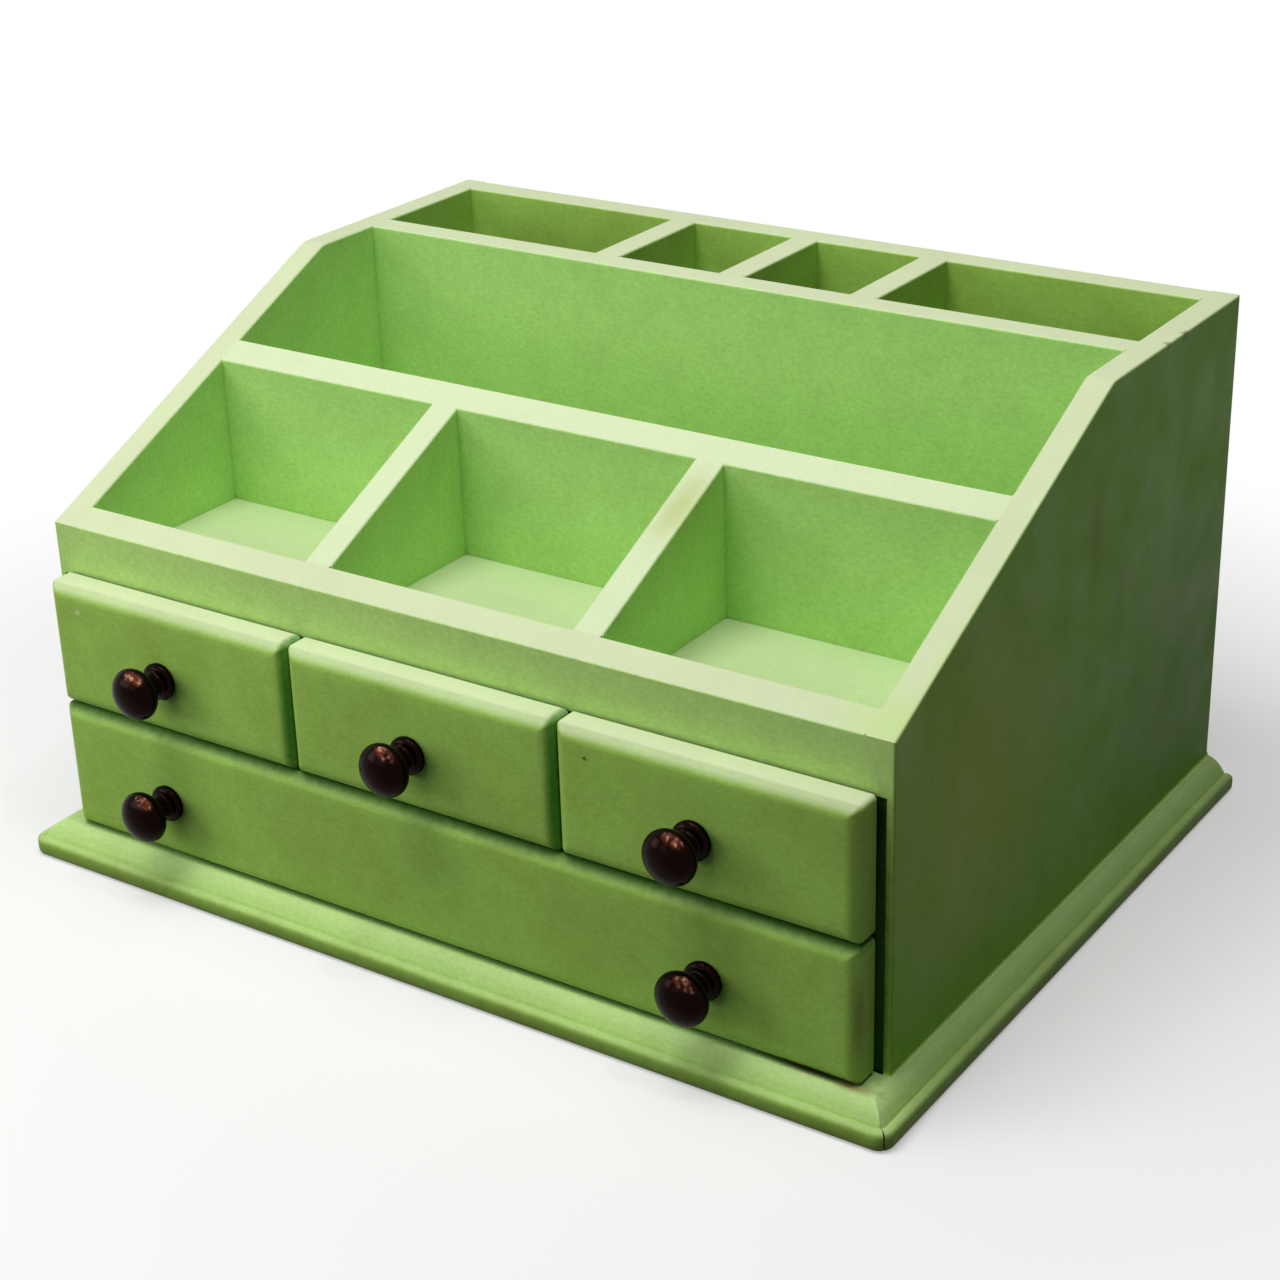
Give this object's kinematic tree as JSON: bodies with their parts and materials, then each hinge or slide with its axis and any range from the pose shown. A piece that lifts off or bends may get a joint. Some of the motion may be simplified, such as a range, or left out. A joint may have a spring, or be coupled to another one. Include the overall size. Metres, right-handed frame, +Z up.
{
  "type": "mini chest of drawers",
  "caption": "Painted wooden desk chest with open trays, a letter slot and pen compartments above small drawers and a wide drawer with turned knobs, on a moulded base.",
  "frame": {"origin": "centre of the overall box, on the surface that the base stands on", "axes": "+X to the right along the front, +Y from the front towards the back, +Z up; the drawer fronts face -Y"},
  "size_m": [0.3886, 0.301, 0.2085],
  "materials": {
    "green_paint": "hand-painted satin apple green",
    "bare_wood": "plain unpainted",
    "dark_stained_wood": "glossy dark brown stain",
    "screw_steel": "zinc plated"
  },
  "bodies": {
    "carcass": {"side_panel_left": "green_paint", "side_panel_right": "green_paint", "back_panel": "green_paint", "deck": "green_paint", "drawer_shelf": "bare_wood", "front_rail": "green_paint", "middle_partition": "green_paint", "rear_partition": "green_paint", "tray_divider_left": "green_paint", "tray_divider_right": "green_paint", "rear_divider_left": "green_paint", "rear_divider_middle": "green_paint", "rear_divider_right": "green_paint", "bay_divider_left": "bare_wood", "bay_divider_right": "bare_wood", "base_board": "green_paint", "base_moulding_front": "green_paint", "base_moulding_left": "green_paint", "base_moulding_right": "green_paint"},
    "left_drawer": {"left_drawer_front": "green_paint", "left_drawer_left_side": "bare_wood", "left_drawer_right_side": "bare_wood", "left_drawer_back": "bare_wood", "left_drawer_bottom": "bare_wood", "left_drawer_knob_screw": "screw_steel", "left_drawer_knob": "dark_stained_wood"},
    "middle_drawer": {"middle_drawer_front": "green_paint", "middle_drawer_left_side": "bare_wood", "middle_drawer_right_side": "bare_wood", "middle_drawer_back": "bare_wood", "middle_drawer_bottom": "bare_wood", "middle_drawer_knob_screw": "screw_steel", "middle_drawer_knob": "dark_stained_wood"},
    "right_drawer": {"right_drawer_front": "green_paint", "right_drawer_left_side": "bare_wood", "right_drawer_right_side": "bare_wood", "right_drawer_back": "bare_wood", "right_drawer_bottom": "bare_wood", "right_drawer_knob_screw": "screw_steel", "right_drawer_knob": "dark_stained_wood"},
    "wide_drawer": {"wide_drawer_front": "green_paint", "wide_drawer_left_side": "bare_wood", "wide_drawer_right_side": "bare_wood", "wide_drawer_back": "bare_wood", "wide_drawer_bottom": "bare_wood", "wide_drawer_knob_screw": "screw_steel", "wide_drawer_knob_left": "dark_stained_wood", "wide_drawer_knob_right": "dark_stained_wood"}
  },
  "joints": [
    {"name": "left_drawer_slide", "type": "slide", "parent": "carcass", "child": "left_drawer", "axis": [0, -1, 0], "range_m": [0, 0.2]},
    {"name": "middle_drawer_slide", "type": "slide", "parent": "carcass", "child": "middle_drawer", "axis": [0, -1, 0], "range_m": [0, 0.2]},
    {"name": "right_drawer_slide", "type": "slide", "parent": "carcass", "child": "right_drawer", "axis": [0, -1, 0], "range_m": [0, 0.2]},
    {"name": "wide_drawer_slide", "type": "slide", "parent": "carcass", "child": "wide_drawer", "axis": [0, -1, 0], "range_m": [0, 0.2]}
  ]
}
